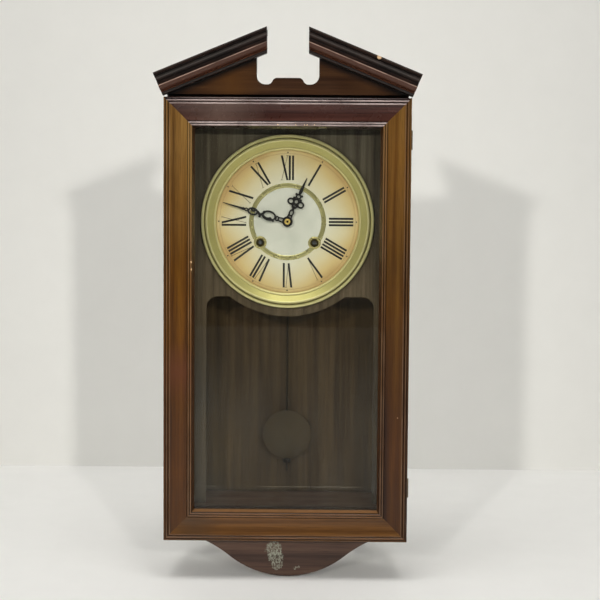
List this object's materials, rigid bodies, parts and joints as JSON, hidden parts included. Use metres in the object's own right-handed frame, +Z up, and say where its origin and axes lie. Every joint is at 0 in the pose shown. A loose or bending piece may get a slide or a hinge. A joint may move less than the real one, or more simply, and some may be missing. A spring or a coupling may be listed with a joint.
{
  "type": "pendulum wall clock",
  "caption": "Wall-hung pendulum clock: glazed full-length door, round Roman dial in a broad brass bezel, broken pediment above and a curved apron below.",
  "frame": {"origin": "the spot where the wall nail sits in the hanging slot, on the plane of the wall", "axes": "+X to the viewer's right, +Y into the wall, +Z up; the dial faces -Y"},
  "size_m": [0.328, 0.132, 0.6852],
  "materials": {
    "case_wood": "satin",
    "door_wood": "satin",
    "board_wood": "matte",
    "glass": "gloss",
    "putty": "matte",
    "dial_paint": "satin",
    "hand_black": "satin",
    "polished_brass": "polished",
    "hardware_brass": "satin",
    "movement_brass": "satin",
    "bob_brass": "tarnished",
    "steel": "satin",
    "iron": "matte"
  },
  "bodies": {
    "case": {"backboard": "board_wood", "side_left": "case_wood", "side_right": "case_wood", "top_board": "case_wood", "bottom_board": "case_wood", "glue_blocks": "board_wood", "pediment_panel": "case_wood", "cornice_left": "case_wood", "cornice_right": "case_wood", "apron": "case_wood", "hanger_plate": "steel", "case_screws": "hardware_brass", "hinge_case_leaves": "hardware_brass", "catch_clip": "hardware_brass", "dial_board": "board_wood", "dial": "dial_paint", "bezel": "polished_brass", "dial_center_ring": "polished_brass", "winding_grommets": "polished_brass", "plate_back": "movement_brass", "plate_front": "movement_brass", "pillars": "steel", "pillar_nuts": "steel", "movement_brackets": "steel", "mainsprings": "steel", "gong_block": "iron", "gong": "steel", "suspension_cock": "movement_brass"},
    "door": {"door_stile_left": "door_wood", "door_stile_right": "door_wood", "door_rail_top": "door_wood", "door_rail_bottom": "door_wood", "door_glass": "glass", "glass_putty": "putty", "hinge_door_leaves": "hardware_brass", "door_screws": "hardware_brass", "catch_tongue": "hardware_brass"},
    "minute_arbor": {"center_wheel": "movement_brass", "cannon_pinion": "movement_brass", "minute_hand": "hand_black", "hand_nut": "polished_brass"},
    "motion_wheel": {"minute_wheel": "movement_brass"},
    "hour_pipe": {"hour_wheel": "movement_brass", "hour_hand": "hand_black"},
    "time_great": {"time_great_wheel": "movement_brass"},
    "time_winder": {"time_arbor": "steel"},
    "third_arbor": {"third_wheel": "movement_brass"},
    "escape_arbor": {"escape_wheel": "movement_brass"},
    "verge_arbor": {"verge": "steel"},
    "pendulum": {"suspension_spring": "steel", "pendulum_rod": "steel", "pendulum_bob": "bob_brass", "rating_nut": "steel"},
    "strike_great": {"strike_great_wheel": "movement_brass"},
    "strike_winder": {"strike_arbor": "steel"},
    "pin_arbor": {"pin_wheel": "movement_brass"},
    "locking_arbor": {"locking_wheel": "movement_brass"},
    "fly_arbor": {"fly": "movement_brass"},
    "hammer_arbor": {"hammer": "steel"}
  },
  "joints": [
    {"name": "door_hinge", "type": "hinge", "parent": "case", "child": "door", "pos_m": [0.1532, -0.0985, -0.246], "axis": [0, 0, 1], "range_deg": [0, 165]},
    {"name": "minute_turn", "type": "hinge", "parent": "case", "child": "minute_arbor", "pos_m": [0, -0.05, -0.122], "axis": [0, 1, 0], "continuous": true},
    {"name": "motion_turn", "type": "hinge", "parent": "case", "child": "motion_wheel", "pos_m": [0, -0.05, -0.1364], "axis": [0, 1, 0], "continuous": true},
    {"name": "hour_turn", "type": "hinge", "parent": "case", "child": "hour_pipe", "pos_m": [0, -0.05, -0.122], "axis": [0, 1, 0], "continuous": true},
    {"name": "time_great_turn", "type": "hinge", "parent": "case", "child": "time_great", "pos_m": [0.0342, -0.05, -0.1485], "axis": [0, 1, 0], "continuous": true},
    {"name": "third_turn", "type": "hinge", "parent": "case", "child": "third_arbor", "pos_m": [0.012, -0.05, -0.10121], "axis": [0, 1, 0], "continuous": true},
    {"name": "escape_turn", "type": "hinge", "parent": "case", "child": "escape_arbor", "pos_m": [0, -0.05, -0.08691], "axis": [0, 1, 0], "continuous": true},
    {"name": "time_winding", "type": "hinge", "parent": "case", "child": "time_winder", "pos_m": [0.0342, -0.05, -0.1485], "axis": [0, 1, 0], "continuous": true},
    {"name": "strike_winding", "type": "hinge", "parent": "case", "child": "strike_winder", "pos_m": [-0.0342, -0.05, -0.1485], "axis": [0, 1, 0], "continuous": true},
    {"name": "pin_wheel_turn", "type": "hinge", "parent": "case", "child": "pin_arbor", "pos_m": [-0.03928, -0.05, -0.1197], "axis": [0, 1, 0], "continuous": true},
    {"name": "strike_great_turn", "type": "hinge", "parent": "case", "child": "strike_great", "pos_m": [-0.0342, -0.05, -0.1485], "axis": [0, 1, 0], "continuous": true},
    {"name": "locking_turn", "type": "hinge", "parent": "case", "child": "locking_arbor", "pos_m": [-0.0358, -0.05, -0.10001], "axis": [0, 1, 0], "continuous": true},
    {"name": "fly_turn", "type": "hinge", "parent": "case", "child": "fly_arbor", "pos_m": [-0.02771, -0.05, -0.08598], "axis": [0, 1, 0], "continuous": true},
    {"name": "pendulum_swing", "type": "hinge", "parent": "case", "child": "pendulum", "pos_m": [0, -0.024, -0.0665], "axis": [0, 1, 0], "range_deg": [-5, 5]},
    {"name": "verge_rock", "type": "hinge", "parent": "case", "child": "verge_arbor", "pos_m": [0, -0.05, -0.0665], "axis": [0, 1, 0], "range_deg": [-5, 5]},
    {"name": "hammer_lift", "type": "hinge", "parent": "case", "child": "hammer_arbor", "pos_m": [-0.057, -0.05, -0.102], "axis": [0, 1, 0], "range_deg": [-5.3, 5], "stiffness_Nm_per_rad": 0.01}
  ],
  "couplings": [
    {"joint": "motion_turn", "follows": "minute_turn", "ratio": -0.33333},
    {"joint": "hour_turn", "follows": "minute_turn", "ratio": 0.083333},
    {"joint": "time_great_turn", "follows": "minute_turn", "ratio": -0.10256},
    {"joint": "third_turn", "follows": "minute_turn", "ratio": -11},
    {"joint": "escape_turn", "follows": "minute_turn", "ratio": 103.12},
    {"joint": "strike_great_turn", "follows": "pin_wheel_turn", "ratio": -0.10256},
    {"joint": "locking_turn", "follows": "pin_wheel_turn", "ratio": -9},
    {"joint": "fly_turn", "follows": "pin_wheel_turn", "ratio": 72},
    {"joint": "verge_rock", "follows": "pendulum_swing", "ratio": 1}
  ]
}
